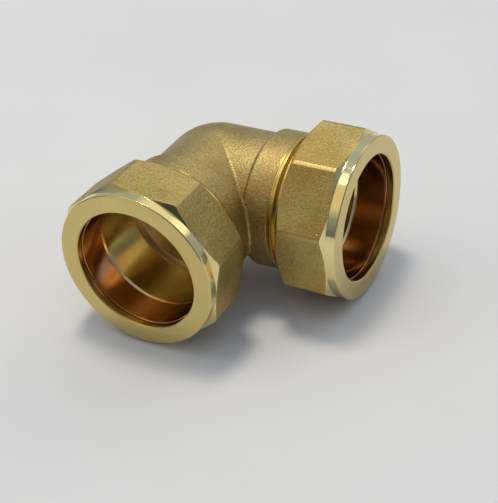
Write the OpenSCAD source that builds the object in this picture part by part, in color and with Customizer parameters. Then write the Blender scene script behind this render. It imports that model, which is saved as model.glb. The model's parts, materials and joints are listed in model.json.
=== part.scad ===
// Equal 90 degree compression elbow for 42 mm copper tube.
// Each port has a threaded socket, an olive and an octagonal nut.
// The part stands on Z = 0. Port A leaves along -Y and port B along +X.
// Every "at" value is a distance along a port axis, counted from the point where the axes cross.

/* [Tube sockets] */
// Radius of the socket bore that the tube slides into
socket_r = 21.15; // [21.05:0.01:21.2]
// Tube stop at the bottom of the socket, at
tube_stop_at = 23; // [22.6:0.1:25]
// Radius of the waterway through the body
waterway_r = 19.2; // [18:0.1:19.6]
// Width of the bevel on the tube stop
stop_bevel = 0.3; // [0.2:0.1:1]
// Start of the tapered seat for the olive, at
seat_at = 41.4; // [41.3:0.05:41.5]
// Radius of that seat at the socket's open end
seat_r = 22.14; // [22.1:0.01:22.15]

/* [Body] */
// Outside radius of the plain part of both legs and of the rounded heel
core_r = 21.45; // [21:0.05:22]
// Outside radius of the thicker band round each socket
band_r = 23.4; // [23:0.05:23.7]
// Start of the slope from the leg up to the band, at
slope_at = 19.8; // [18.4:0.1:20.4]
// End of that slope, at
band_at = 21.3; // [21.2:0.05:22.4]
// End of the forged band, at
band_end_at = 29.7; // [28:0.1:30]
// Radius of the turned land beside the band
land_r = 23.2; // [22.9:0.05:23.3]
// Start of the turned ring, at
ring_at = 30.45; // [30.2:0.05:30.8]
// End of the turned ring, at
ring_end_at = 31.75; // [31.4:0.05:31.8]
// Edge bevel of the turned ring
ring_bevel = 0.2; // [0.1:0.05:0.3]
// Open end of the socket, at
mouth_at = 43; // [42.9:0.05:43.1]
// Edge bevel round the open end
mouth_bevel = 0.15; // [0.1:0.05:0.2]

/* [Thread] */
// Axial distance from one thread crest to the next (11 threads to the inch)
pitch = 2.309; // [2.309:0.001:2.309]
// Crest radius of the body's thread
crest_r = 23.9; // [23.8:0.01:23.9]
// Root radius of the body's thread
root_r = 22.45; // [22.42:0.01:22.5]
// Axial width of a crest
crest_w = 0.45; // [0.4:0.01:0.5]
// Half of the angle between the thread's flanks, in degrees
flank_angle = 27.5; // [27.5:0.5:30]
// First crest of the body's thread, at
thread_at = 33; // [32.8:0.1:33.2]
// Turns of thread on the body
body_turns = 3.75; // [3.25:0.25:3.75]
// Turns of thread in a nut
nut_turns = 3; // [2:0.25:3]
// Radial gap between a crest and the root that faces it
thread_gap = 0.15; // [0.15:0.01:0.2]
// Axial gap between facing flanks
flank_gap = 0.13; // [0.12:0.01:0.15]

/* [Nuts] */
// Front face of a hand-tight nut, at
face_at = 55.8; // [55.6:0.1:56]
// Distance across the flats of a nut
across_flats = 55; // [54.8:0.1:55.2]
// Radius of the rounded-off corners of a nut
corner_r = 29.5; // [29.2:0.05:29.6]
// Rear face of a nut, at
rear_at = 35.05; // [34.8:0.05:35.3]
// Rear end of the full corners, at
corner_rear_at = 36.55; // [36:0.05:37]
// Front end of the full corners, at
corner_front_at = 51.2; // [50.5:0.05:51.5]
// Rear end of the turned collar, at
collar_at = 52.35; // [52.2:0.05:52.6]
// Radius of the turned collar at the front of a nut
collar_r = 27.45; // [27.3:0.05:27.45]
// Edge bevel round the front face
face_bevel = 0.3; // [0.2:0.05:0.5]
// Radius of the hole that the tube passes through
nut_bore_r = 21.2; // [21.2:0.01:21.3]
// Edge bevel of that hole
bore_bevel = 0.35; // [0.2:0.05:0.5]
// Depth of the lip between the front face and the olive
lip_depth = 2.3; // [2.2:0.05:2.5]
// Inside radius of a nut round the olive
pocket_r = 22.75; // [22.7:0.01:22.75]
// Inner end of the nut's thread, at
thread_end_at = 44.3; // [44.2:0.1:44.6]
// Lead-in bevel at the rear of the nut's thread
lead_in = 0.5; // [0.3:0.05:0.6]
// Turn of nut A about its axis, in degrees
turn_a = 14.6; // [0:0.1:45]
// Turn of nut B about its axis, in degrees
turn_b = 30.4; // [0:0.1:45]

/* [Olives] */
// Inside radius of an olive
olive_bore_r = 21.1; // [21.1:0.01:21.15]
// Outside radius round the middle of an olive
olive_r = 22.4; // [22.3:0.01:22.4]
// Outside radius at both ends of an olive
olive_end_r = 21.6; // [21.5:0.01:21.6]
// Rear end of an olive, at
olive_rear_at = 42.45; // [42.4:0.05:42.6]
// Front end of an olive, at
olive_front_at = 52.95; // [52.9:0.05:53]
// Length of the slope at each end of an olive
olive_slope = 2.2; // [2.1:0.1:2.5]
// Gap between an olive's front slope and the seat in its nut
seat_gap = 0.15; // [0.12:0.01:0.2]

/* [Hidden] */
$fn = 120;
brass = [0.80, 0.67, 0.38];
blasted_brass = [0.72, 0.60, 0.36];
copper = [0.72, 0.40, 0.27];
sides = 8;
step_angle = 360 / sides;
// overrun of cutters past the face they cut
over = 1;
// depth by which a thread ridge is sunk into the wall that carries it
sunk = 0.2;
// share of that depth left over the ridge where it runs out
runout_cover = 0.05;
// turns over which a thread rises to its full height at each end
runout = 0.4;
ridge_steps = 48;
flats_r = across_flats / 2 / cos(step_angle / 2);
corner_half = step_angle / 2 - acos(across_flats / 2 / corner_r);

// furthest that a nut's corners reach along the direction at angle "from"
function corner_reach(turn, from) =
    max([for (i = [0 : sides - 1]) for (d = [-corner_half, 0, corner_half])
        corner_r * cos(turn + step_angle * i + d - from)]);

// the two nuts decide how far the part reaches down and to its outer sides
height = max(corner_reach(turn_a, 270), corner_reach(turn_b, 270));
heel_x = max(core_r, corner_reach(turn_a, 180));
heel_y = max(core_r, corner_reach(turn_b, 0));
centre = [(heel_x - face_at) / 2, (face_at - heel_y) / 2, height];

flank_w = 2 * (crest_r - root_r) * tan(flank_angle);
bore_root_r = crest_r + thread_gap;
bore_crest_r = root_r + 2 * thread_gap;
// width left between two ridges of the body's thread at the radius of the nut's crests
space_w = pitch - crest_w - 2 * (crest_r - bore_crest_r) * tan(flank_angle);
nut_crest_w = space_w - 2 * flank_gap;
// the nut's thread sits in the middle of the body's, one and a half turns further out
nut_thread_at = thread_at + 1.5 * pitch;
// slope of an olive's ends, and of the seat in the nut that faces the front one
olive_rise = (olive_r - olive_end_r) / olive_slope;
seat_out = seat_gap / cos(atan(olive_rise));
// radius of the nut's seat at a distance behind the olive's front end
function nut_seat_r(behind) = olive_end_r + seat_out + behind * olive_rise;

module at_port_a() {
    translate(centre)
        rotate([90, 0, 0])
            children();
}

module at_port_b() {
    translate(centre)
        rotate([0, 0, 90])
            rotate([90, 0, 0])
                children();
}

// a helical ridge from radius base_r to radius tip_r whose section has sloping flanks
module thread_ridge(base_r, tip_r, first_at, turns, tip_w, cover) {
    steps = turns * ridge_steps;
    rise = abs(tip_r - base_r);
    base_w = tip_w + 2 * rise * tan(flank_angle);
    low = (sunk - cover) / rise;
    grown = [for (i = [0 : steps])
        let (part = min(i, steps - i) / (runout * ridge_steps))
        low + (1 - low) * min(1, part)];
    points = [for (i = [0 : steps])
        let (
            angle = 360 * i / ridge_steps,
            z = first_at + pitch * i / ridge_steps,
            r = base_r + (tip_r - base_r) * grown[i],
            w = base_w + (tip_w - base_w) * grown[i]
        )
        each [
            [base_r * cos(angle), base_r * sin(angle), z - base_w / 2],
            [r * cos(angle), r * sin(angle), z - w / 2],
            [r * cos(angle), r * sin(angle), z + w / 2],
            [base_r * cos(angle), base_r * sin(angle), z + base_w / 2]
        ]];
    around = [for (i = [0 : steps - 1]) for (k = [0 : 3])
        let (a = 4 * i + k, b = 4 * i + (k + 1) % 4, c = a + 4, d = b + 4)
        each [[a, b, d], [a, d, c]]];
    last = 4 * steps;
    caps = [[0, 3, 2], [0, 2, 1], [last, last + 1, last + 2], [last, last + 2, last + 3]];
    inward = tip_r < base_r;
    polyhedron(points, [for (f = concat(around, caps)) inward ? [f[2], f[1], f[0]] : f]);
}

// outside of one leg of the body, from the crossing to the socket's open end
module leg_outside() {
    rotate_extrude()
        polygon([
            [0, 0],
            [core_r, 0],
            [core_r, slope_at],
            [band_r, band_at],
            [band_r, band_end_at],
            [land_r, band_end_at],
            [land_r, ring_at],
            [crest_r - ring_bevel, ring_at],
            [crest_r, ring_at + ring_bevel],
            [crest_r, ring_end_at - ring_bevel],
            [crest_r - ring_bevel, ring_end_at],
            [root_r, ring_end_at],
            [root_r, mouth_at - mouth_bevel],
            [root_r - mouth_bevel, mouth_at],
            [0, mouth_at]
        ]);
}

// waterway, tube socket and the tapered seat for the olive, as one cutter
module leg_inside() {
    over_r = seat_r + over * (seat_r - socket_r) / (mouth_at - seat_at);
    rotate_extrude()
        polygon([
            [0, 0],
            [waterway_r, 0],
            [waterway_r, tube_stop_at - stop_bevel],
            [waterway_r + stop_bevel, tube_stop_at],
            [socket_r, tube_stop_at],
            [socket_r, seat_at],
            [over_r, mouth_at + over],
            [0, mouth_at + over]
        ]);
}

module body_thread() {
    thread_ridge(root_r - sunk, crest_r, thread_at, body_turns, crest_w, runout_cover);
}

module elbow_body() {
    color(blasted_brass)
        difference() {
            union() {
                translate(centre)
                    sphere(r = core_r);
                at_port_a()
                    leg_outside();
                at_port_b()
                    leg_outside();
                at_port_a()
                    body_thread();
                at_port_b()
                    body_thread();
            }
            translate(centre)
                sphere(r = waterway_r);
            at_port_a()
                leg_inside();
            at_port_b()
                leg_inside();
        }
}

// distance along the axis of the centre of a sphere that passes through the collar's radius at
// edge_at and through the corners' radius at corner_at
function dome_centre(edge_at, corner_at) =
    (edge_at * edge_at - corner_at * corner_at + collar_r * collar_r - corner_r * corner_r)
        / (2 * (edge_at - corner_at));

module corner_dome(edge_at, corner_at) {
    middle = dome_centre(edge_at, corner_at);
    translate([0, 0, middle])
        sphere(r = norm([collar_r, edge_at - middle]));
}

// octagon with rounded-off corners that are cut back towards both faces
module octagon(turn) {
    front_at = (collar_at + face_at) / 2;
    intersection() {
        rotate([0, 0, turn])
            translate([0, 0, rear_at])
                cylinder(r = flats_r, h = front_at - rear_at, $fn = sides);
        translate([0, 0, rear_at - over])
            cylinder(r = corner_r, h = front_at - rear_at + 2 * over);
        corner_dome(collar_at, corner_front_at);
        corner_dome(rear_at, corner_rear_at);
    }
}

// turned collar in front of the octagon
module collar() {
    rotate_extrude()
        polygon([
            [0, corner_rear_at],
            [collar_r, corner_rear_at],
            [collar_r, face_at - face_bevel],
            [collar_r - face_bevel, face_at],
            [0, face_at]
        ]);
}

// thread bore, olive pocket, tapered seat and tube hole, as one cutter
module nut_inside() {
    seat_front_at = face_at - lip_depth;
    seat_front_r = nut_seat_r(olive_front_at - seat_front_at);
    pocket_front_at = olive_front_at - (pocket_r - nut_seat_r(0)) / olive_rise;
    rotate_extrude()
        polygon([
            [0, rear_at - over],
            [bore_root_r + lead_in + over, rear_at - over],
            [bore_root_r, rear_at + lead_in],
            [bore_root_r, thread_end_at],
            [pocket_r, thread_end_at],
            [pocket_r, pocket_front_at],
            [seat_front_r, seat_front_at],
            [nut_bore_r, seat_front_at],
            [nut_bore_r, face_at - bore_bevel],
            [nut_bore_r + bore_bevel + over, face_at + over],
            [0, face_at + over]
        ]);
}

module nut(turn) {
    color(brass)
        union() {
            difference() {
                union() {
                    octagon(turn);
                    collar();
                }
                nut_inside();
            }
            thread_ridge(bore_root_r + sunk, bore_crest_r, nut_thread_at, nut_turns,
                nut_crest_w, runout_cover);
        }
}

module olive() {
    color(copper)
        rotate_extrude()
            polygon([
                [olive_bore_r, olive_rear_at],
                [olive_end_r, olive_rear_at],
                [olive_r, olive_rear_at + olive_slope],
                [olive_r, olive_front_at - olive_slope],
                [olive_end_r, olive_front_at],
                [olive_bore_r, olive_front_at]
            ]);
}

module nut_a() {
    at_port_a()
        nut(turn_a);
}

module nut_b() {
    at_port_b()
        nut(turn_b);
}

module olive_a() {
    at_port_a()
        olive();
}

module olive_b() {
    at_port_b()
        olive();
}

elbow_body();
nut_a();
nut_b();
olive_a();
olive_b();
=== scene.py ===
# Visual model of a brass compression elbow with two octagonal nuts and two copper olives.
# The pieces are worked out in millimetres, and the camera, lights and floor are in metres. An
# outline is a line of (z, radius) points, where z runs along a port's axis from the point where
# both axes cross.
import json
import math

import bmesh
import bpy
import numpy as np
from mathutils import Matrix, Vector, noise


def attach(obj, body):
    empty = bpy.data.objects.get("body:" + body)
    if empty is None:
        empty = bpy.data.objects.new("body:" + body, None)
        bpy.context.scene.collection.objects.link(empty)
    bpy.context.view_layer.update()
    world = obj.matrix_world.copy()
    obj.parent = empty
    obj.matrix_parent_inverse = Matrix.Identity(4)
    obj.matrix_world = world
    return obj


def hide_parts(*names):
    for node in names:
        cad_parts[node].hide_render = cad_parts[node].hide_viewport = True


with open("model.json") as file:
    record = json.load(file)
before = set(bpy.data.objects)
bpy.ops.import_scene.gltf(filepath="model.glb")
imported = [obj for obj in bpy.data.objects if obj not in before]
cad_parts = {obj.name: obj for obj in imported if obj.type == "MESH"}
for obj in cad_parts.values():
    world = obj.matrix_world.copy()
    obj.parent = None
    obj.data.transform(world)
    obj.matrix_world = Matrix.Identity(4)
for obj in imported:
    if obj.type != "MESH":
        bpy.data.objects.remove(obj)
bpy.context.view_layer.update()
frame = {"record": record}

MM = 0.001
TINY = 1e-6
# Points closer than this many metres become one.
MERGE = 1e-6
SHARP = math.radians(38)
mounts = {m["name"]: m["pos_m"] for m in frame["record"]["mounts"]}
CROSSING = np.array([mounts["tube_a"][0], mounts["tube_b"][1], mounts["tube_a"][2]]) / MM

# Body, outside.
CORE_R = 21.45
BAND_R = 23.4
LAND_R = 23.2
SLOPE_AT = 19.8
BAND_AT = 21.3
BAND_END = 29.7
RING_AT = 30.45
RING_END = 31.75
RING_BEVEL = 0.2
# Body, inside.
SOCKET_R = 21.15
WATERWAY_R = 19.2
MOUTH_SEAT_R = 22.14
MOUTH_AT = 43.0
MOUTH_BEVEL = 0.15
SEAT_START = 41.4
STOP_AT = 23.0
STOP_BEVEL = 0.3
# Threads. A ridge's base is sunk a little into its wall. Over RUNOUT_TURNS at each end it grows
# from the share RUNOUT_LOW of its height. tip_w is the width of its crest.
PITCH = 2.309
FLANK = math.tan(math.radians(27.5))
CREST_R = 23.9
ROOT_R = 22.45
NUT_ROOT_R = 24.05
NUT_CREST_R = 22.75
SUNK = 0.2
FIRST_TURN = 33.0
BODY_THREAD = dict(base=ROOT_R - SUNK, tip=CREST_R, first=FIRST_TURN, turns=3.75, tip_w=0.45)
NUT_THREAD = dict(
    base=NUT_ROOT_R + SUNK, tip=NUT_CREST_R, first=FIRST_TURN + 1.5 * PITCH, turns=3.0, tip_w=0.4017)
RUNOUT_TURNS = 0.4
RUNOUT_LOW = 0.09
# Nuts, outside.
FACE_AT = 55.8
REAR_AT = 35.05
CORNER_REAR = 36.55
CORNER_FRONT = 51.2
COLLAR_AT = 52.35
FLAT_R = 27.5
CORNER_R = 29.5
COLLAR_R = 27.45
FACE_BEVEL = 0.3
SIDES = 8
# Degrees that each nut is turned by.
TURN = {"a": 14.6, "b": 30.4}
# Nuts, inside.
NUT_BORE_R = 21.2
BORE_BEVEL = 0.35
SEAT_FRONT = 53.5
SEAT_FRONT_R = 21.56
POCKET_FRONT = 50.226
POCKET_R = 22.75
THREAD_END = 44.3
LEAD_IN = 0.5
# Olives.
OLIVE_BORE_R = 21.1
OLIVE_R = 22.4
OLIVE_END_R = 21.6
OLIVE_REAR = 42.45
OLIVE_FRONT = 52.95
OLIVE_MIDDLE = (OLIVE_REAR + OLIVE_FRONT) / 2
OLIVE_SLOPE = 2.2

# Waviness of the forged surfaces: its height, the size of its lumps and the share of the small
# ones, and where it fades out, in millimetres from an edge or degrees from a nut's corner.
BODY_RELIEF = 0.05
FLAT_RELIEF = 0.025
LUMP = 6.0
SMALL_LUMP = LUMP / 3.1
SMALL_SHARE = 0.3
BODY_FADE_END = BAND_END - 0.1
BODY_FADE = 1.2
FLAT_FADE = 1.5
FLAT_FADE_DEGREES = 1.6

# Outlines, one (z, radius, fillet, pieces, kind) for each corner, as outline() takes them.
OUTSIDE = [
    (0, CORE_R, 0, 44, "blasted"),
    (SLOPE_AT, CORE_R, 0.5, 4, "blasted"),
    (BAND_AT, BAND_R, 0.4, 14, "blasted"),
    (BAND_END, BAND_R, 0.12, 2, "turned"),
    (BAND_END, LAND_R, 0.06, 3, "turned"),
    (RING_AT, LAND_R, 0.12, 3, "turned"),
    (RING_AT, CREST_R - RING_BEVEL, 0.08, 1, "turned"),
    (RING_AT + RING_BEVEL, CREST_R, 0.1, 3, "turned"),
    (RING_END - RING_BEVEL, CREST_R, 0.1, 1, "turned"),
    (RING_END, CREST_R - RING_BEVEL, 0.08, 3, "turned"),
    (RING_END, ROOT_R, 0, 1, "turned"),
]
# The bore and waterway kinds carry painted light in their tone, and the stop kind painted shade.
INSIDE = [
    (MOUTH_AT - MOUTH_BEVEL, ROOT_R, 0, 1, "turned"),
    (MOUTH_AT, ROOT_R - MOUTH_BEVEL, 0.04, 1, "turned"),
    (MOUTH_AT, MOUTH_SEAT_R, 0.04, 4, "bore"),
    (SEAT_START, SOCKET_R, 0.1, 16, "bore"),
    (STOP_AT, SOCKET_R, 0.15, 3, "stop"),
    (STOP_AT, WATERWAY_R + STOP_BEVEL, 0.08, 1, "stop"),
    (STOP_AT - STOP_BEVEL, WATERWAY_R, 0.08, 24, "waterway"),
    (0, WATERWAY_R, 0, 1, "waterway"),
]
OLIVE = [
    (OLIVE_MIDDLE, OLIVE_BORE_R, 0, 10, "copper"),
    (OLIVE_FRONT, OLIVE_BORE_R, 0.14, 1, "copper"),
    (OLIVE_FRONT, OLIVE_END_R, 0.14, 4, "copper"),
    (OLIVE_FRONT - OLIVE_SLOPE, OLIVE_R, 0.7, 10, "copper"),
    (OLIVE_REAR + OLIVE_SLOPE, OLIVE_R, 0.7, 4, "copper"),
    (OLIVE_REAR, OLIVE_END_R, 0.14, 1, "copper"),
    (OLIVE_REAR, OLIVE_BORE_R, 0.2, 10, "copper"),
    (OLIVE_MIDDLE, OLIVE_BORE_R, 0, 1, "copper"),
]
# A fillet's points, and the largest share of a straight run that it may take.
FILLET_STEPS = (0, 0.25, 0.5, 0.75, 1)
FILLET_SHARE = 0.45

LEG_COLUMNS = 180
OLIVE_COLUMNS = 192
SEARCH_STEPS = 40
# The crease between the legs: the size of its blend, the rows beside it and where it ends at the
# latest. The plain part of the outline, without the band's rounded end, is its wall.
CREASE_BLEND = 1.5
CREASE_ROWS = [0, 0.12, 0.25, 0.4, 0.6, 0.85, 1.15, 1.5]
CREASE_END = BAND_END - 2
PLAIN_END = BAND_END - 0.2
# A nut's columns, in degrees from its corners. Those up to CORNER_HALF are the worn corner.
CORNER_BLEND = 0.1
CORNER_HALF = 1.28
SECTOR = 360 / SIDES
NEAR_CORNER = [0.5, 0.9, 1.15, CORNER_HALF, 1.42, 1.7, 2.3]
ACROSS_FLAT = list(np.linspace(3.2, SECTOR / 2, 14))


def to_world(port, p):
    """Points (..., 3) of a port's frame, in the model's frame."""
    x, y, z = p[..., 0], p[..., 1], p[..., 2]
    world = (x, -z, y) if port == "a" else (z, x, y)
    return np.stack(world, -1) + CROSSING


def outline(table):
    """Rounds and subdivides an open outline, as rows (columns, points, 2) with their surface kinds.

    table has one (z, radius, fillet, pieces, kind) for each corner: its place, the size of its
    rounding, the number of pieces of the straight run after it, and the surface kind of both. A
    place that differs from column to column is an array."""
    z, radius = (
        np.stack(np.broadcast_arrays(*(np.atleast_1d(corner[i]) for corner in table)), 1)
        for i in (0, 1))
    corners = np.stack([z, radius], 2).astype(float)
    last = len(table) - 1
    step = np.diff(corners, axis=1)
    length = np.linalg.norm(step, axis=2, keepdims=True)
    unit = step / np.maximum(length, TINY)
    arcs = []
    for k, (_, _, fillet, _, _) in enumerate(table):
        p = corners[:, k]
        if k in (0, last) or not fillet:
            arcs.append([p])
            continue
        before, after = unit[:, k - 1], unit[:, k]
        cosine = np.clip((before * after).sum(1, keepdims=True), TINY - 1, 1)
        reach = fillet * np.sqrt((1 - cosine) / (1 + cosine))
        reach = np.minimum(reach, FILLET_SHARE * np.minimum(length[:, k - 1], length[:, k]))
        a, b = p - before * reach, p + after * reach
        arcs.append([(1 - u) ** 2 * a + 2 * u * (1 - u) * p + u * u * b for u in FILLET_STEPS])
    rows, kinds = [], []
    for k, (_, _, _, pieces, kind) in enumerate(table):
        rows += arcs[k]
        kinds += [kind] * len(arcs[k])
        if k < last:
            a, b = arcs[k][-1], arcs[k + 1][0]
            for i in range(1, pieces):
                rows.append(a + (b - a) * i / pieces)
                kinds.append(kind)
    return np.stack(rows, 1), kinds[:-1]


def thread_radius(thread, angle, z):
    """Radius of the thread's ridge at each angle (turns) and z, or its base away from the ridge."""
    base, tip, turns = thread["base"], thread["tip"], thread["turns"]
    tip_half = thread["tip_w"] / 2
    base_half = tip_half + abs(tip - base) * FLANK
    height = np.zeros(np.broadcast(angle, z).shape)
    for n in range(int(turns) + 1):
        u = angle + n
        grown = np.clip(np.minimum(u, turns - u) / RUNOUT_TURNS, 0, 1)
        grown = RUNOUT_LOW + (1 - RUNOUT_LOW) * grown
        grown = np.where((u < 0) | (u > turns), 0, grown)
        half = base_half + (tip_half - base_half) * grown
        off = np.abs(z - thread["first"] - PITCH * u)
        slope = np.clip((base_half - off) / np.maximum(base_half - half, TINY), 0, 1)
        height = np.maximum(height, grown * slope)
    return base + (tip - base) * height


def thread_rows(thread, wall, angles, low, high):
    """Rows that follow the helix, each kept between z = low and high, as (columns, rows, 2), with
    the row that each row meets after one turn."""
    tip_half = thread["tip_w"] / 2
    root_half = tip_half + abs(thread["tip"] - wall) * FLANK
    # Across one ridge, then the middle of the gap before the next.
    steps = np.array([-root_half, -0.75 * root_half, -0.5 * root_half, -tip_half, 0,
                      tip_half, 0.5 * root_half, 0.75 * root_half, root_half, PITCH / 2])
    start = thread["first"] + PITCH * angles[0]
    first = math.floor((low - start) / PITCH) - 1
    last = math.ceil((high - start) / PITCH) + 1
    z0 = np.concatenate([start + PITCH * n + steps for n in range(first, last + 1)])
    z = np.clip(z0[None] + PITCH * (angles - angles[0])[:, None], low, high)
    ridge = thread_radius(thread, (angles % 1)[:, None], z)
    r = np.maximum(ridge, wall) if thread["tip"] > wall else np.minimum(ridge, wall)
    meets = np.minimum(np.arange(len(z0)) + len(steps), len(z0) - 1)
    return np.stack([z, r], 2), meets


def woven(angles, rows, kinds, meets, flip):
    """Vertices and faces of a grid that closes round the axis.

    kinds has one surface kind for each gap between rows, or one such list for each column. meets
    is the row that each row meets after one turn."""
    columns, count = rows.shape[:2]
    kinds = np.broadcast_to(np.array(kinds), (columns, count - 1))
    a = 2 * math.pi * np.asarray(angles)[:, None]
    r = rows[..., 1]
    points = np.stack([r * np.cos(a), r * np.sin(a), rows[..., 0]], 2).reshape(-1, 3)
    straight = np.arange(count)
    faces, face_kinds = [], []
    for i in range(columns):
        here = i * count + straight
        there = ((i + 1) % columns) * count + (meets if i == columns - 1 else straight)
        for j in range(count - 1):
            quad = (here[j], there[j], there[j + 1], here[j + 1])
            faces.append(quad[::-1] if flip else quad)
            face_kinds.append(kinds[i, j])
    return points, faces, face_kinds


def soft_step(x):
    x = np.clip(x, 0, 1)
    return x * x * (3 - 2 * x)


def as_part(port, angles, rows, kinds, relief, meets, flip=False):
    """A woven grid in the model's frame, with the share of waviness and the distance along the
    outline at each point."""
    points, faces, face_kinds = woven(angles, rows, kinds, meets, flip)
    run = np.linalg.norm(np.diff(rows, axis=1), axis=2)
    lathe = np.concatenate([np.zeros((len(rows), 1)), np.cumsum(run, axis=1)], 1)
    return to_world(port, points), faces, face_kinds, relief.ravel(), lathe.ravel()


def creased(outside, sine, cosine):
    """The outside of a leg, cut off and blended where it meets the other leg, as z and radius.

    sine and cosine are of the angle from the inner side of the bend, and cosine is 0 past a right
    angle, where the legs don't meet."""
    plain = outside[outside[:, 0] < PLAIN_END]

    def profile(z):
        return np.interp(z, plain[:, 0], plain[:, 1])

    blend = CREASE_BLEND * cosine ** 2
    low, high = np.zeros_like(cosine), np.full_like(cosine, CREASE_END)
    for _ in range(SEARCH_STEPS):
        middle = (low + high) / 2
        inside = (profile(middle) + blend / 4) * cosine > middle
        low, high = np.where(inside, middle, low), np.where(inside, high, middle)
    crease = np.where(cosine > 0, (low + high) / 2, 0)

    extra = len(CREASE_ROWS)
    along = np.concatenate([np.zeros(extra), outside[:, 0]])[None]
    radius = np.concatenate([np.full(extra, CORE_R), outside[:, 1]])[None]
    offsets = np.array(CREASE_ROWS + [CREASE_ROWS[-1]] * (along.shape[1] - extra))[None]
    z = np.maximum(along, crease + offsets)
    wall = np.where(z > along, profile(z), radius)
    r = wall.copy()
    for _ in range(SEARCH_STEPS):
        other = np.sqrt((r * sine) ** 2 + z ** 2) - profile(r * cosine)
        share = np.clip(1 - (other - (r - wall)) / np.maximum(blend, TINY), 0, 1)
        r = 0.5 * r + 0.5 * (wall + blend / 4 * share ** 2)
    r[:, :1] = np.where(cosine > TINY, crease / np.maximum(cosine, TINY), r[:, :1])
    return z, r


def leg(port):
    """One leg of the body, outside and inside, from the plane where it meets the other leg."""
    toward = 1 if port == "a" else -1
    angles = np.arange(LEG_COLUMNS) / LEG_COLUMNS
    sine = np.sin(2 * math.pi * angles)[:, None]
    cosine = np.clip(toward * np.cos(2 * math.pi * angles), 0, 1)[:, None]
    outside, outside_kinds = outline(OUTSIDE)
    z, r = creased(outside[0], sine, cosine)
    thread, meets = thread_rows(BODY_THREAD, ROOT_R, angles, RING_END, MOUTH_AT - MOUTH_BEVEL)
    inside, inside_kinds = outline(INSIDE)
    inside = np.repeat(inside, LEG_COLUMNS, 0)
    inside[..., 0] = np.maximum(inside[..., 0], WATERWAY_R * cosine)

    rows = np.concatenate([np.stack([z, r], 2), thread, inside], 1)
    relief = np.zeros(rows.shape[:2])
    first = z.shape[1]
    relief[:, :first] = soft_step((BODY_FADE_END - z) / BODY_FADE)
    kinds = ["blasted"] * len(CREASE_ROWS) + outside_kinds
    kinds += ["turned"] * (thread.shape[1] + 1) + inside_kinds
    joins = np.arange(rows.shape[1])
    joins[first:first + len(meets)] = first + meets
    return as_part(port, angles, rows, kinds, relief, joins)


def heel(radius, kind, relief, flip):
    """The quarter of a sphere between the ends of both legs."""
    up = math.pi * (np.arange(LEG_COLUMNS // 2 + 1) / (LEG_COLUMNS // 2) - 0.5)[:, None]
    across = math.pi / 2 * (np.arange(LEG_COLUMNS // 4 + 1) / (LEG_COLUMNS // 4))[None]
    flat = np.cos(up)
    points = np.stack([-flat * np.cos(across), flat * np.sin(across), np.sin(up) + 0 * across], 2)
    points = (radius * points).reshape(-1, 3) + CROSSING
    count = across.shape[1]
    faces = []
    for i in range(len(up) - 1):
        for j in range(count - 1):
            a = i * count + j
            quad = (a, a + count, a + count + 1, a + 1)
            faces.append(quad[::-1] if flip else quad)
    size = len(points)
    return points, faces, [kind] * len(faces), np.full(size, relief), np.zeros(size)


def nut(port):
    """An octagonal nut with its chamfers, collar, olive seat and thread."""
    beside = NEAR_CORNER + ACROSS_FLAT
    sector = np.array([-b for b in beside[::-1]] + [0] + beside[:-1])
    degrees = np.concatenate([TURN[port] + SECTOR * k + sector for k in range(SIDES)])
    from_corner = np.tile(np.abs(sector), SIDES)
    flat = FLAT_R / np.cos(np.radians(SECTOR / 2 - from_corner))
    share = np.clip(1 - np.abs(flat - CORNER_R) / CORNER_BLEND, 0, 1)
    out = np.minimum(flat, CORNER_R) - CORNER_BLEND / 4 * share ** 2
    drop = (CORNER_R - out) / (CORNER_R - COLLAR_R)
    front = CORNER_FRONT + drop * (COLLAR_AT - CORNER_FRONT)
    rear = CORNER_REAR - drop * (CORNER_REAR - REAR_AT)
    rows, kinds = outline([
        (THREAD_END, NUT_ROOT_R, 0, 2, "bore"),
        (THREAD_END, POCKET_R, 0.1, 4, "bore"),
        (POCKET_FRONT, POCKET_R, 0.2, 3, "bore"),
        (SEAT_FRONT, SEAT_FRONT_R, 0.05, 1, "bore"),
        (SEAT_FRONT, NUT_BORE_R, 0.06, 4, "bore"),
        (FACE_AT - BORE_BEVEL, NUT_BORE_R, 0.1, 2, "turned"),
        (FACE_AT, NUT_BORE_R + BORE_BEVEL, 0.08, 10, "face"),
        (FACE_AT, COLLAR_R - FACE_BEVEL, 0.1, 2, "face"),
        (FACE_AT - FACE_BEVEL, COLLAR_R, 0.12, 7, "polished"),
        (COLLAR_AT, COLLAR_R, 0.1, 4, "polished"),
        (front, out, 0.12, 18, "flat"),
        (rear, out, 0.2, 4, "turned"),
        (REAR_AT, COLLAR_R, 0.1, 5, "turned"),
        (REAR_AT, NUT_ROOT_R + LEAD_IN, 0.06, 2, "turned"),
        (REAR_AT + LEAD_IN, NUT_ROOT_R, 0, 1, "turned"),
    ])
    thread, meets = thread_rows(
        NUT_THREAD, NUT_ROOT_R, degrees / 360, REAR_AT + LEAD_IN, THREAD_END)

    inward = np.minimum(rows[..., 0] - rear[:, None], front[:, None] - rows[..., 0])
    sideways = (from_corner - FLAT_FADE_DEGREES)[:, None] * math.pi / 180 * FLAT_R
    is_flat = np.array([kind == "flat" for kind in kinds] + [False])[None]
    relief = np.where(is_flat, soft_step(np.minimum(inward, sideways) / FLAT_FADE), 0)
    relief = np.concatenate([relief, np.zeros(thread.shape[:2])], 1)
    first = rows.shape[1]
    joins = np.concatenate([np.arange(first), first + meets])
    rows = np.concatenate([rows, thread], 1)
    kinds = np.array(kinds + ["turned"] * thread.shape[1])[None]
    on_corner = np.tile((sector >= -CORNER_HALF) & (sector < CORNER_HALF), SIDES)[:, None]
    kinds = np.where((kinds == "flat") & on_corner, "corner", kinds)
    return as_part(port, degrees / 360, rows, kinds, relief, joins, flip=True)


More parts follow.
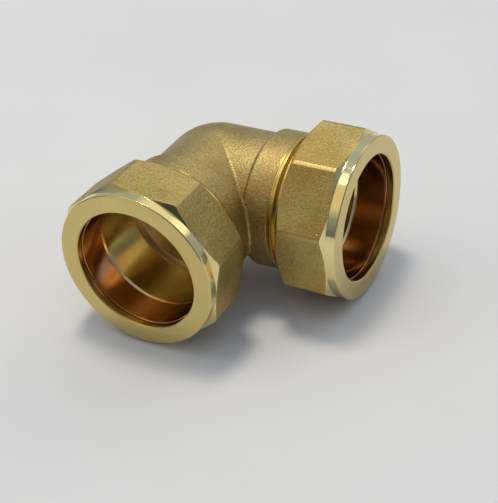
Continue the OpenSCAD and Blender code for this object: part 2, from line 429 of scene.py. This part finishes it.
def olive(port):
    """A compression ring with a slope at both ends."""
    angles = np.arange(OLIVE_COLUMNS) / OLIVE_COLUMNS
    rows, kinds = outline(OLIVE)
    rows = np.repeat(rows, OLIVE_COLUMNS, 0)
    relief = np.zeros(rows.shape[:2])
    return as_part(port, angles, rows, kinds, relief, np.arange(rows.shape[1]), flip=True)


def make(name, parts, materials, relief=0.0):
    """One closed mesh object from woven parts. relief is the height of its waviness."""
    order = list(materials)
    points, faces, slots, shares, lathe = [], [], [], [], []
    start = 0
    for part_points, part_faces, kinds, share, run in parts:
        points.append(part_points)
        shares.append(share)
        lathe.append(run)
        faces += [tuple(start + i for i in face) for face in part_faces]
        slots += [order.index(kind) for kind in kinds]
        start += len(part_points)
    mesh = bpy.data.meshes.new(name)
    mesh.from_pydata(np.concatenate(points) * MM, [], faces)
    mesh.polygons.foreach_set("material_index", slots)
    for attribute, values in (("relief", shares), ("lathe", lathe)):
        mesh.attributes.new(attribute, "FLOAT", "POINT").data.foreach_set(
            "value", np.concatenate(values).astype(np.float32))
    bm = bmesh.new()
    bm.from_mesh(mesh)
    bmesh.ops.remove_doubles(bm, verts=bm.verts, dist=MERGE)
    bmesh.ops.dissolve_degenerate(bm, edges=bm.edges, dist=MERGE)
    bm.normal_update()
    if relief:
        layer = bm.verts.layers.float["relief"]
        moves = []
        for v in bm.verts:
            if v[layer] > 0:
                p = v.co / MM
                big, small = noise.noise(p / LUMP), noise.noise(p / SMALL_LUMP)
                high = (1 - SMALL_SHARE) * big + SMALL_SHARE * small
                moves.append((v, v.normal * (v[layer] * relief * MM * high)))
        for v, move in moves:
            v.co += move
    bm.to_mesh(mesh)
    bm.free()
    mesh.polygons.foreach_set("use_smooth", [True] * len(mesh.polygons))
    mesh.set_sharp_from_angle(angle=SHARP)
    for kind in order:
        mesh.materials.append(materials[kind])
    obj = bpy.data.objects.new(name, mesh)
    bpy.context.scene.collection.objects.link(obj)
    return obj


class Nodes:
    """Short calls that make and link the nodes of one material or world."""

    def __init__(self, tree):
        self.tree = tree
        tree.nodes.clear()

    def add(self, kind, inputs=None, **settings):
        node = self.tree.nodes.new(kind)
        for key, value in settings.items():
            setattr(node, key, value)
        for key, value in (inputs or {}).items():
            if isinstance(value, bpy.types.NodeSocket):
                self.tree.links.new(value, node.inputs[key])
            else:
                node.inputs[key].default_value = value
        return node

    def math(self, operation, a, b=0.0, clamp=False):
        return self.add("ShaderNodeMath", {0: a, 1: b}, operation=operation, use_clamp=clamp).outputs[0]

    def spread(self, value, from_low, from_high, to_low, to_high):
        """value carried from one range to another and kept inside it."""
        inputs = {"Value": value, "From Min": from_low, "From Max": from_high,
                  "To Min": to_low, "To Max": to_high}
        return self.add("ShaderNodeMapRange", inputs).outputs["Result"]

    def noise(self, vector, scale, detail=2.0, roughness=0.5):
        inputs = {"Vector": vector, "Scale": scale, "Detail": detail, "Roughness": roughness}
        return self.add("ShaderNodeTexNoise", inputs).outputs["Fac"]

    def cells(self, vector, scale):
        inputs = {"Vector": vector, "Scale": scale}
        return self.add("ShaderNodeTexVoronoi", inputs).outputs["Distance"]

    def rings(self, value, scale, detail):
        inputs = {"W": value, "Scale": scale, "Detail": detail}
        return self.add("ShaderNodeTexNoise", inputs, noise_dimensions="1D").outputs["Fac"]

    def mix(self, share, a, b):
        """The colour a where share is 0 and b where it is 1."""
        node = self.add("ShaderNodeMix", {0: share}, data_type="RGBA")
        for index, value in ((6, a), (7, b)):
            if isinstance(value, bpy.types.NodeSocket):
                self.tree.links.new(value, node.inputs[index])
            else:
                node.inputs[index].default_value = (*value, 1)
        return node.outputs[2]

    def bump(self, height, distance, normal=None):
        inputs = {"Height": height, "Distance": distance}
        if normal is not None:
            inputs["Normal"] = normal
        return self.add("ShaderNodeBump", inputs).outputs["Normal"]


# Scales of the metals' noise, per metre, and of their turning marks, per millimetre of outline.
CLOUDS, DULL_SPOTS, WARM_SPOTS, PIT_PATCHES, PITS = 70, 160, 48, 95, 210
COARSE_GRAIN, CELL_GRAIN, FINE_GRAIN = 650, 1450, 1700
MARKS, DULL_MARKS = 7.0, 3.1
# Shares of each in the height of the grain, and of the deep tone in clouds, hollows, pits, marks.
FINE_HIGH, COARSE_HIGH, CELLS_HIGH, PIT_DEEP = 0.9, 0.4, 0.6, 2.5
CLOUD_TONE, GRAIN_TONE, PIT_TONE, MARK_TONE = 0.35, 0.6, 0.6, 0.12
# The blasted metals' warmer deep tone, and its largest share.
WARMER = (1.25, 1.0, 0.95)
WARM_SHARE = 0.4


def metal(name, pale, deep, grain, turned, rough):
    """A procedural metal.

    pale and deep are its two tones, grain and turned the depths in mm of its blasted grain and of
    its turning marks, rough the lowest and highest roughness. The first two numbers after a noise
    in n.spread are the part of its range that is used."""
    material = bpy.data.materials.new(name)
    material.use_nodes = True
    n = Nodes(material.node_tree)
    place = n.add("ShaderNodeTexCoord").outputs["Object"]
    lathe = n.add("ShaderNodeAttribute", attribute_name="lathe").outputs["Fac"]
    normal = None
    cloud = n.spread(n.noise(place, CLOUDS, 3), 0.35, 0.65, 0, 1)
    tone = n.spread(cloud, 0, 1, 0, CLOUD_TONE)
    roughness = n.spread(n.noise(place, DULL_SPOTS, 3), 0.3, 0.7, *rough)
    if grain:
        fine = n.noise(place, FINE_GRAIN, 3, 0.6)
        coarse = n.noise(place, COARSE_GRAIN, 2)
        cells = n.cells(place, CELL_GRAIN)
        height = n.math(
            "ADD", n.math("MULTIPLY", fine, FINE_HIGH), n.math("MULTIPLY", coarse, COARSE_HIGH))
        height = n.math("ADD", height, n.math("MULTIPLY", cells, CELLS_HIGH))
        pit = n.spread(n.cells(place, PITS), 0.03, 0.1, 1, 0)
        gate = n.spread(n.noise(place, PIT_PATCHES, 1), 0.56, 0.62, 0, 1)
        pit = n.math("MULTIPLY", pit, gate)
        height = n.math("SUBTRACT", height, n.math("MULTIPLY", pit, PIT_DEEP))
        normal = n.bump(height, grain * MM)
        tone = n.math("ADD", tone, n.spread(fine, 0.38, 0.62, GRAIN_TONE, 0))
        tone = n.math("ADD", tone, n.math("MULTIPLY", pit, PIT_TONE), clamp=True)
    if turned:
        marks = n.rings(lathe, MARKS, 4)
        normal = n.bump(marks, turned * MM, normal)
        dull = n.spread(n.rings(lathe, DULL_MARKS, 2), 0.3, 0.7, -0.03, 0.05)
        roughness = n.math("ADD", roughness, dull)
        tone = n.math("ADD", tone, n.spread(marks, 0.3, 0.7, 0, MARK_TONE), clamp=True)
    color = n.mix(tone, pale, deep)
    if grain:
        warm = n.spread(n.noise(place, WARM_SPOTS, 3), 0.46, 0.66, 0, WARM_SHARE)
        color = n.mix(warm, color, tuple(deep[i] * WARMER[i] for i in range(3)))
    inputs = {"Base Color": color, "Metallic": 1.0, "Roughness": roughness}
    if normal is not None:
        inputs["Normal"] = normal
    shader = n.add("ShaderNodeBsdfPrincipled", inputs)
    n.add("ShaderNodeOutputMaterial", {"Surface": shader.outputs[0]})
    return material


# Surface kinds, each with its name, pale and deep tones, grain, turning marks and roughness.
METALS = {
    kind: metal(*settings) for kind, *settings in (
        ("blasted", "blasted_brass", (0.60, 0.46, 0.19), (0.32, 0.23, 0.07), 0.09, 0, (0.44, 0.54)),
        ("flat", "flat_brass", (0.62, 0.475, 0.175), (0.33, 0.24, 0.055), 0.075, 0, (0.42, 0.52)),
        ("corner", "corner_brass", (0.58, 0.455, 0.175), (0.41, 0.31, 0.095), 0.035, 0, (0.34, 0.42)),
        ("turned", "turned_brass", (0.68, 0.49, 0.14), (0.38, 0.25, 0.06), 0, 0.0025, (0.20, 0.28)),
        ("polished", "polished_brass", (0.86, 0.74, 0.36), (0.72, 0.57, 0.22), 0, 0.0015, (0.04, 0.08)),
        ("face", "face_brass", (0.71, 0.565, 0.225), (0.61, 0.46, 0.16), 0, 0.0015, (0.18, 0.25)),
        # The bores get a paler copy of the turned brass: painted light for the light that reaches into
        # them.
        ("bore", "bore_brass", (0.86, 0.70, 0.33), (0.58, 0.43, 0.15), 0, 0.003, (0.12, 0.20)),
        # The tube stop at the bottom of each socket gets a darker copy of the brass: painted shade.
        ("stop", "stop_brass", (0.50, 0.36, 0.17), (0.30, 0.20, 0.08), 0, 0.004, (0.26, 0.36)),
        # The waterway gets a paler copy of the brass: painted light for the light that comes in through
        # the other port.
        ("waterway", "waterway_brass", (0.84, 0.72, 0.38), (0.60, 0.48, 0.20), 0.02, 0.006, (0.34, 0.44)),
        ("copper", "olive_copper", (0.92, 0.49, 0.23), (0.67, 0.27, 0.08), 0, 0.002, (0.11, 0.17)),
    )
}


def place_piece(piece, body, node):
    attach(piece, body)
    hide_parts(node)


def metals(*kinds):
    return {kind: METALS[kind] for kind in kinds}


def make_pieces():
    parts = [leg("a"), leg("b")]
    parts += [heel(CORE_R, "blasted", 1, False), heel(WATERWAY_R, "waterway", 0, True)]
    body_metals = metals("blasted", "turned", "bore", "stop", "waterway")
    elbow = make("elbow_forging", parts, body_metals, BODY_RELIEF)
    place_piece(elbow, "body", "elbow_body")
    nut_metals = metals("flat", "corner", "turned", "polished", "face", "bore")
    for port in "ab":
        cap = make("nut_" + port + "_octagon", [nut(port)], nut_metals, FLAT_RELIEF)
        place_piece(cap, "cap_" + port, "nut_" + port)
        ring = make("olive_" + port + "_ring", [olive(port)], metals("copper"))
        place_piece(ring, "ring_" + port, "olive_" + port)


def toward_side(azimuth, elevation):
    """The unit vector from the part to that side, in degrees. Azimuth 0 is -Y."""
    a, e = math.radians(azimuth), math.radians(elevation)
    return Vector((math.sin(a) * math.cos(e), -math.cos(a) * math.cos(e), math.sin(e)))


# The photograph's viewing angle, and where the camera stands from the crossing of the axes.
VIEW_AZIMUTH, VIEW_ELEVATION, VIEW_ROLL = 30.419, 34.747, -4.542
CAMERA_FROM_CROSSING = (0.186916, -0.302423, 0.217520)
LENS, SENSOR = 86.19, 36


def look_camera():
    """The camera at the photograph's viewing angle."""
    back = toward_side(VIEW_AZIMUTH, VIEW_ELEVATION)
    right = Vector((0, 0, 1)).cross(back).normalized()
    up = back.cross(right)
    roll = math.radians(VIEW_ROLL)
    tilted_right = math.cos(roll) * right + math.sin(roll) * up
    tilted_up = -math.sin(roll) * right + math.cos(roll) * up
    data = bpy.data.cameras.new("camera")
    data.lens = LENS
    data.sensor_width = SENSOR
    data.clip_start, data.clip_end = 0.01, 20
    camera = bpy.data.objects.new("camera", data)
    turn = Matrix((tilted_right, tilted_up, back)).transposed().to_4x4()
    spot = Vector(CROSSING * MM) + Vector(CAMERA_FROM_CROSSING)
    camera.matrix_world = Matrix.Translation(spot) @ turn
    bpy.context.scene.collection.objects.link(camera)
    bpy.context.scene.camera = camera


# The room that the metal mirrors: its walls, darker on the camera's side, its ceiling, then
# patches of azimuth, elevation, outer edge and core in degrees, and colour.
DARK_WALL, PALE_WALL, PALE_SIDE = (0.135, 0.18, 0.27), (0.43, 0.48, 0.56), (190, 0, 100, 35)
CEILING, CEILING_FROM, CEILING_TO = (0.44, 0.52, 0.67), 0.1, 0.8
PATCHES = [
    (322, 46, 28, 12, (0.80, 0.70, 0.52)),
    (322, 16, 20, 8, (0.32, 0.32, 0.31)),
    (148, 33, 14, 8, (1.3, 1.28, 1.2)),
    (176, 45, 24, 10, (0.95, 0.93, 0.88)),
    (48, 4, 60, 25, (0.18, 0.26, 0.42)),
    (9, 16, 28, 13, (0.06, 0.065, 0.075)),
]
BACKDROP = (0.70, 0.70, 0.68)
FLOOR_HALF = 3.0
FLOOR_TONES = (0.795, 0.775, 0.735), (0.825, 0.808, 0.77)
FLOOR_CLOUDS = 9
# Lights: name, azimuth, elevation, distance, size, watts and colour. They aim at AIM_HEIGHT.
SOFTBOXES = [
    ("ceiling_key", 228, 79, 1.5, 0.32, 8.5, (1.0, 0.94, 0.83)),
    ("ceiling_side", 290, 62, 1.5, 0.5, 0.95, (1.0, 0.97, 0.86)),
]
AIM_HEIGHT = 0.02


def softbox(name, azimuth, elevation, distance, size, watts, color):
    """A square area light, aimed at the part from that side and height."""
    data = bpy.data.lights.new(name, "AREA")
    data.shape = "RECTANGLE"
    data.size, data.size_y = size, size
    data.energy = watts
    data.color = color
    light = bpy.data.objects.new(name, data)
    away = toward_side(azimuth, elevation)
    light.location = away * distance + Vector((0, 0, AIM_HEIGHT))
    light.rotation_euler = away.to_track_quat("Z", "Y").to_euler()
    bpy.context.scene.collection.objects.link(light)


def light_room():
    """The world, which lights the part and is mirrored in it."""
    world = bpy.data.worlds.new("studio")
    bpy.context.scene.world = world
    world.use_nodes = True
    n = Nodes(world.node_tree)
    direction = n.add("ShaderNodeTexCoord").outputs["Generated"]
    height = n.add("ShaderNodeSeparateXYZ", {0: direction}).outputs[2]

    def towards(azimuth, elevation, edge, core):
        """1 within core degrees of that direction, falling to 0 at edge degrees."""
        aim = tuple(toward_side(azimuth, elevation))
        dot = n.add("ShaderNodeVectorMath", {0: direction, 1: aim}, operation="DOT_PRODUCT")
        near = dot.outputs["Value"]
        return n.spread(near, math.cos(math.radians(edge)), math.cos(math.radians(core)), 0, 1)

    walls = n.mix(towards(*PALE_SIDE), DARK_WALL, PALE_WALL)
    room = n.mix(n.spread(height, CEILING_FROM, CEILING_TO, 0, 1), walls, CEILING)
    for *direction_and_size, tint in PATCHES:
        room = n.mix(towards(*direction_and_size), room, tint)
    seen = n.add("ShaderNodeLightPath").outputs["Is Camera Ray"]
    color = n.mix(seen, room, BACKDROP)
    background = n.add("ShaderNodeBackground", {"Color": color, "Strength": 1.0})
    n.add("ShaderNodeOutputWorld", {"Surface": background.outputs[0]})


def lay_floor():
    """A pale floor at the height that the part stands on."""
    material = bpy.data.materials.new("pale_floor")
    material.use_nodes = True
    n = Nodes(material.node_tree)
    place = n.add("ShaderNodeTexCoord").outputs["Object"]
    tone = n.spread(n.noise(place, FLOOR_CLOUDS, 3), 0.3, 0.7, 0, 1)
    color = n.mix(tone, *FLOOR_TONES)
    inputs = {"Base Color": color, "Roughness": 0.7, "Specular IOR Level": 0.2}
    shader = n.add("ShaderNodeBsdfPrincipled", inputs)
    n.add("ShaderNodeOutputMaterial", {"Surface": shader.outputs[0]})
    mesh = bpy.data.meshes.new("floor")
    corners = [(x * FLOOR_HALF, y * FLOOR_HALF, 0) for x, y in ((-1, -1), (1, -1), (1, 1), (-1, 1))]
    mesh.from_pydata(corners, [], [(0, 1, 2, 3)])
    mesh.materials.append(material)
    floor = bpy.data.objects.new("floor", mesh)
    bpy.context.scene.collection.objects.link(floor)


make_pieces()
look_camera()
bpy.context.scene.view_settings.view_transform = "Standard"
light_room()
lay_floor()
for settings in SOFTBOXES:
    softbox(*settings)
